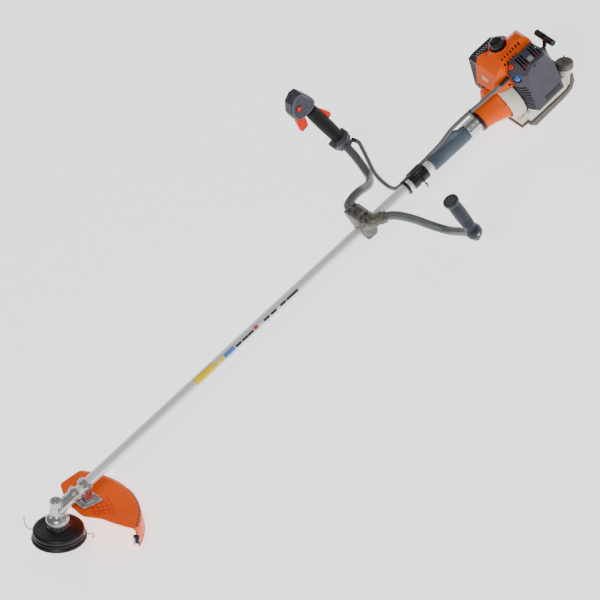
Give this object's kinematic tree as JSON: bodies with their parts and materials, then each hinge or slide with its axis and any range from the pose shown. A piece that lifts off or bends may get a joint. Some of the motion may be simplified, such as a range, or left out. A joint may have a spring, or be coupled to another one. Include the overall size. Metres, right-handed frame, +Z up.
{
  "type": "string trimmer",
  "caption": "Petrol string trimmer with a straight shaft, bike handlebar, line head, guard and rear engine, lying on its guard and the engine's foot.",
  "frame": {"origin": "middle of the flat underside of the engine's foot, on the ground", "axes": "+X from the cutting head to the engine, +Y to the operator's right, +Z up"},
  "size_m": [1.8163, 0.5988, 0.3371],
  "materials": {
    "orange": "glossy orange moulding",
    "red_plastic": "glossy red moulding",
    "black_plastic": "black moulding, low sheen",
    "grip_rubber": "dark blue-black moulded rubber",
    "sleeve_foam": "blue-grey foam sleeve",
    "grey_plastic": "slate grey moulding",
    "guard_mesh": "dark grey pressed mesh",
    "bar_paint": "satin grey paint",
    "tank_plastic": "cream blow-moulded plastic",
    "foot_plastic": "grey-brown moulding",
    "tube_metal": "satin drawn tube",
    "cast_metal": "as cast, slightly rough",
    "steel": "machined steel",
    "primer_blue": "clear blue moulding",
    "line_nylon": "extruded nylon line"
  },
  "bodies": {
    "machine": {"gear_case": "cast_metal", "lower_bearing": "steel", "guard": "orange", "guard_bracket": "cast_metal", "cutter_holder": "black_plastic", "line_cutter": "steel", "drive_tube": "tube_metal", "shaft_bush": "black_plastic", "stop_ring": "black_plastic", "harness_clamp": "black_plastic", "harness_eyelet": "steel", "rear_sleeve": "sleeve_foam", "coupling_collar": "tube_metal", "throttle_cable": "black_plastic", "handlebar": "bar_paint", "clamp_lower": "cast_metal", "clamp_middle": "cast_metal", "clamp_cap": "cast_metal", "left_grip": "grip_rubber", "handle_shell": "grey_plastic", "grip_sleeve": "black_plastic", "clutch_housing": "orange", "crankcase": "cast_metal", "cylinder": "cast_metal", "piston": "cast_metal", "spark_plug": "steel", "spark_plug_boot": "black_plastic", "shroud": "orange", "muffler": "steel", "muffler_guard": "guard_mesh", "carburetor": "cast_metal", "air_filter": "foot_plastic", "filter_cover": "grey_plastic", "starter_housing": "grey_plastic", "fuel_tank": "tank_plastic", "tank_foot": "foot_plastic"},
    "cutting_head": {"output_shaft": "steel", "crown_gear": "steel", "spool_adapter": "steel", "spool_housing": "black_plastic", "spool_cap": "black_plastic", "line_tail_front": "line_nylon", "line_tail_rear": "line_nylon"},
    "reel": {"line_spool": "black_plastic"},
    "tap_knob": {"bump_knob": "black_plastic", "bump_spring": "steel"},
    "drive_line": {"drive_shaft": "steel", "pinion_gear": "steel", "clutch_drum": "steel"},
    "crank_set": {"crankshaft": "steel", "flywheel": "cast_metal", "clutch_shoes": "steel"},
    "pull_handle": {"starter_handle": "grey_plastic"},
    "rope_pulley": {"starter_pulley": "black_plastic"},
    "trigger": {"throttle_trigger": "red_plastic"},
    "lockout": {"lockout_lever": "red_plastic"},
    "stop_switch": {"stop_button": "red_plastic"},
    "choke": {"choke_knob": "red_plastic"},
    "primer": {"primer_bulb": "primer_blue"},
    "filler_cap": {"fuel_cap": "foot_plastic"}
  },
  "joints": [
    {"name": "head_spin", "type": "hinge", "parent": "machine", "child": "cutting_head", "pos_m": [-1.59108, 0, 0.1531], "axis": [0.428, 0, 0.9038], "continuous": true},
    {"name": "reel_turn", "type": "hinge", "parent": "cutting_head", "child": "reel", "pos_m": [-1.59108, 0, 0.1531], "axis": [0.428, 0, 0.9038], "continuous": true},
    {"name": "tap_press", "type": "slide", "parent": "cutting_head", "child": "tap_knob", "axis": [0.428, 0, 0.9038], "range_m": [0, 0.006], "stiffness_N_per_m": 600, "springref_m": -0.003},
    {"name": "drive_spin", "type": "hinge", "parent": "machine", "child": "drive_line", "pos_m": [-0.89166, 0, 0.12451], "axis": [0.9992, 0, -0.0408], "continuous": true},
    {"name": "crank_spin", "type": "hinge", "parent": "machine", "child": "crank_set", "pos_m": [-0.03238, 0, 0.0894], "axis": [0.9992, 0, -0.0408], "continuous": true},
    {"name": "starter_pull", "type": "slide", "parent": "machine", "child": "pull_handle", "axis": [0.5236, 0, 0.852], "range_m": [0, 0.8], "stiffness_N_per_m": 6, "springref_m": -0.5},
    {"name": "pulley_spin", "type": "hinge", "parent": "machine", "child": "rope_pulley", "pos_m": [0.06654, 0, 0.08535], "axis": [0.9992, 0, -0.0408], "range_deg": [0, 1400]},
    {"name": "trigger_squeeze", "type": "hinge", "parent": "machine", "child": "trigger", "pos_m": [-0.44048, 0.2816, 0.25919], "axis": [-0.0018, -0.9995, 0.0301], "range_deg": [0, 12], "stiffness_Nm_per_rad": 0.6, "springref_deg": -8.59},
    {"name": "lockout_press", "type": "hinge", "parent": "machine", "child": "lockout", "pos_m": [-0.39783, 0.28094, 0.23976], "axis": [0.0018, 0.9995, -0.0301], "range_deg": [0, 8], "stiffness_Nm_per_rad": 0.6, "springref_deg": -8.59},
    {"name": "stop_press", "type": "slide", "parent": "machine", "child": "stop_switch", "axis": [0.0018, 0.9995, -0.0301], "range_m": [0, 0.0025], "stiffness_N_per_m": 500, "springref_m": -0.002},
    {"name": "choke_pull", "type": "slide", "parent": "machine", "child": "choke", "axis": [-0.4142, -0.2001, 0.8879], "range_m": [0, 0.008]},
    {"name": "primer_squeeze", "type": "slide", "parent": "machine", "child": "primer", "axis": [0.7937, 0.5618, -0.2332], "range_m": [0, 0.003], "stiffness_N_per_m": 400, "springref_m": -0.002},
    {"name": "cap_turn", "type": "hinge", "parent": "machine", "child": "filler_cap", "pos_m": [0.10618, -0.05, 0.07573], "axis": [0.428, 0, 0.9038], "range_deg": [0, 540]}
  ],
  "couplings": [
    {"joint": "drive_spin", "follows": "head_spin", "ratio": -1.3571},
    {"joint": "pulley_spin", "follows": "starter_pull", "rad_per_m": 30.303}
  ]
}
